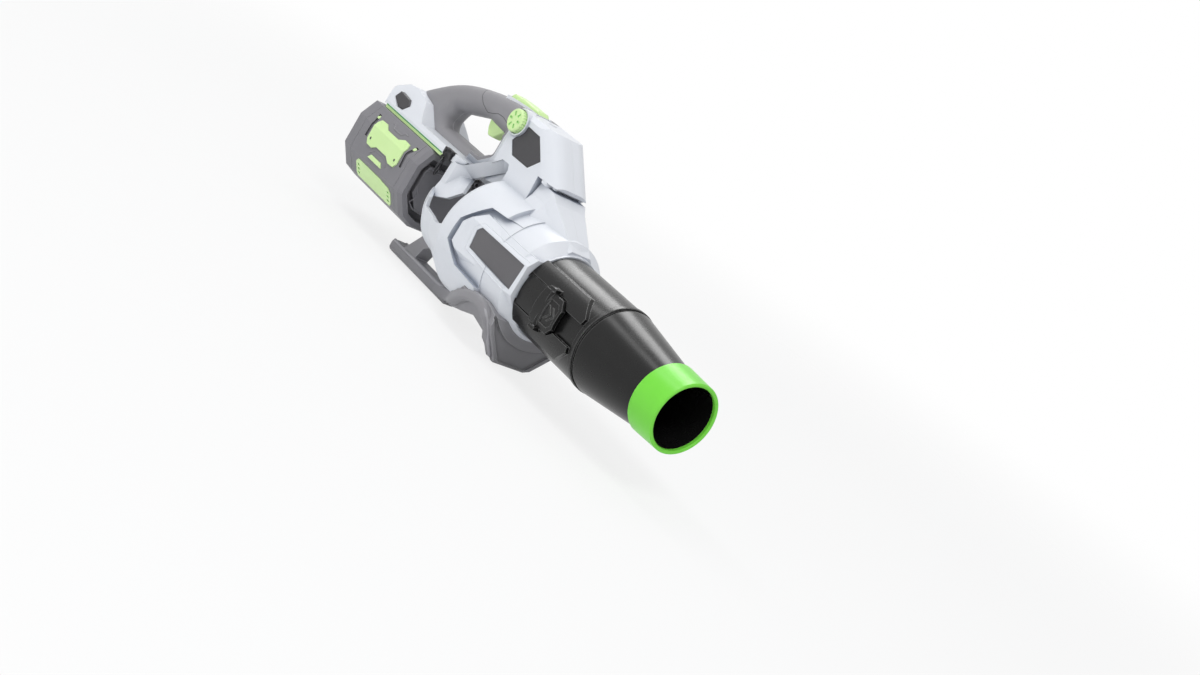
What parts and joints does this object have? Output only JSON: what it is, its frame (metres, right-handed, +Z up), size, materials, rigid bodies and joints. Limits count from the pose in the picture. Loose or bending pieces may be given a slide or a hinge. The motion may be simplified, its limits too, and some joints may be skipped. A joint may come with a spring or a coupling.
{
  "type": "leaf blower",
  "caption": "Battery leaf blower: white clamshell body with axial fan, grey handle loop, slide-on battery, carry stand and a black taper nozzle with a green tip.",
  "frame": {"origin": "middle of the footprint box on the ground, with the blower standing on its carry stand", "axes": "+X forward along the blower axis to the nozzle, +Y to the left, +Z up"},
  "size_m": [0.695, 0.154, 0.2503],
  "materials": {
    "white_plastic": "moulded satin white",
    "grey_plastic": "fine grained grey",
    "panel_plastic": "plain dark inset",
    "plate_plastic": "plain dark inset",
    "lime_plastic": "moulded lime",
    "tip_plastic": "moulded bright green",
    "nozzle_plastic": "black, half gloss",
    "battery_plastic": "fine grained grey",
    "inner_plastic": "dark, bare moulding",
    "fan_plastic": "dark, glass filled",
    "black_steel": "blackened steel",
    "bare_steel": "machined",
    "spring_steel": "drawn wire",
    "motor_steel": "turned can",
    "core_steel": "laminated core",
    "board_plastic": "coated board",
    "contact_metal": "plated contacts"
  },
  "bodies": {
    "housing": {"housing_right": "white_plastic", "housing_left": "white_plastic", "grip_right": "grey_plastic", "grip_left": "grey_plastic", "stand": "grey_plastic", "side_panel_right": "panel_plastic", "side_panel_left": "panel_plastic", "post_plate_right": "plate_plastic", "post_plate_left": "plate_plastic", "intake_guard": "inner_plastic", "fan_duct": "inner_plastic", "motor_can": "motor_steel", "motor_stator": "core_steel", "bearing_rear": "bare_steel", "bearing_front": "bare_steel", "motor_tail_cone": "inner_plastic", "controller_board": "board_plastic", "battery_rail": "inner_plastic", "terminal_block": "contact_metal", "rail_strips": "lime_plastic", "trigger_switch": "inner_plastic", "trigger_pin": "bare_steel", "trigger_spring": "spring_steel", "lever_bezel": "white_plastic", "lever_pin": "bare_steel", "lever_spring": "spring_steel", "dial_potentiometer": "inner_plastic", "release_spring": "spring_steel", "strap_bracket": "black_steel", "bracket_screws": "black_steel", "housing_screws": "black_steel", "stand_screws": "black_steel"},
    "fan": {"fan_rotor": "fan_plastic", "motor_shaft": "bare_steel", "fan_nut": "bare_steel", "rotor_magnet": "core_steel"},
    "trigger": {"trigger": "lime_plastic"},
    "boost_lever": {"boost_lever": "lime_plastic"},
    "speed_dial": {"speed_dial": "lime_plastic"},
    "release_button": {"release_button": "plate_plastic"},
    "strap_ring": {"strap_ring": "black_steel"},
    "battery": {"battery_core": "battery_plastic", "battery_rear_cap": "battery_plastic", "battery_front_cap": "battery_plastic", "battery_insert_right": "lime_plastic", "battery_insert_left": "lime_plastic", "battery_grille_right": "lime_plastic", "battery_grille_left": "lime_plastic", "battery_bar_right": "lime_plastic", "battery_bar_left": "lime_plastic"},
    "nozzle": {"nozzle_tube": "nozzle_plastic", "nozzle_tip_ring": "tip_plastic", "latch_pin": "bare_steel", "latch_spring": "spring_steel"},
    "latch": {"nozzle_latch": "nozzle_plastic"}
  },
  "joints": [
    {"name": "fan_spin", "type": "hinge", "parent": "housing", "child": "fan", "pos_m": [-0.0375, 0, 0.096], "axis": [1, 0, 0], "continuous": true},
    {"name": "trigger_pull", "type": "hinge", "parent": "housing", "child": "trigger", "pos_m": [-0.1355, 0, 0.2105], "axis": [0, 1, 0], "range_deg": [0, 9], "stiffness_Nm_per_rad": 0.3, "springref_deg": -17.19, "deforming": ["trigger_spring"]},
    {"name": "boost_press", "type": "hinge", "parent": "housing", "child": "boost_lever", "pos_m": [-0.0985, 0, 0.242], "axis": [0, -1, 0], "range_deg": [0, 4.5], "stiffness_Nm_per_rad": 0.4, "springref_deg": -17.19, "deforming": ["lever_spring"]},
    {"name": "speed_turn", "type": "hinge", "parent": "housing", "child": "speed_dial", "pos_m": [-0.0855, -0.0324, 0.23], "axis": [0, -1, 0], "range_deg": [0, 270]},
    {"name": "battery_release", "type": "slide", "parent": "housing", "child": "release_button", "axis": [0, 1, 0], "range_m": [0, 0.003], "stiffness_N_per_m": 800, "springref_m": -0.004, "deforming": ["release_spring"]},
    {"name": "strap_swing", "type": "hinge", "parent": "housing", "child": "strap_ring", "pos_m": [-0.1545, -0.0492, 0.1425], "axis": [0.7071, -0.7071, 0], "range_deg": [-60, 8]},
    {"name": "battery_slide", "type": "slide", "parent": "housing", "child": "battery", "axis": [-1, 0, 0], "range_m": [0, 0.16]},
    {"name": "nozzle_slide", "type": "slide", "parent": "housing", "child": "nozzle", "axis": [1, 0, 0], "range_m": [0, 0.06]},
    {"name": "nozzle_latch", "type": "hinge", "parent": "nozzle", "child": "latch", "pos_m": [0.1445, -0.0568, 0.096], "axis": [0, 0, 1], "range_deg": [0, 4], "stiffness_Nm_per_rad": 0.5, "springref_deg": -11.46, "deforming": ["latch_spring"]}
  ]
}
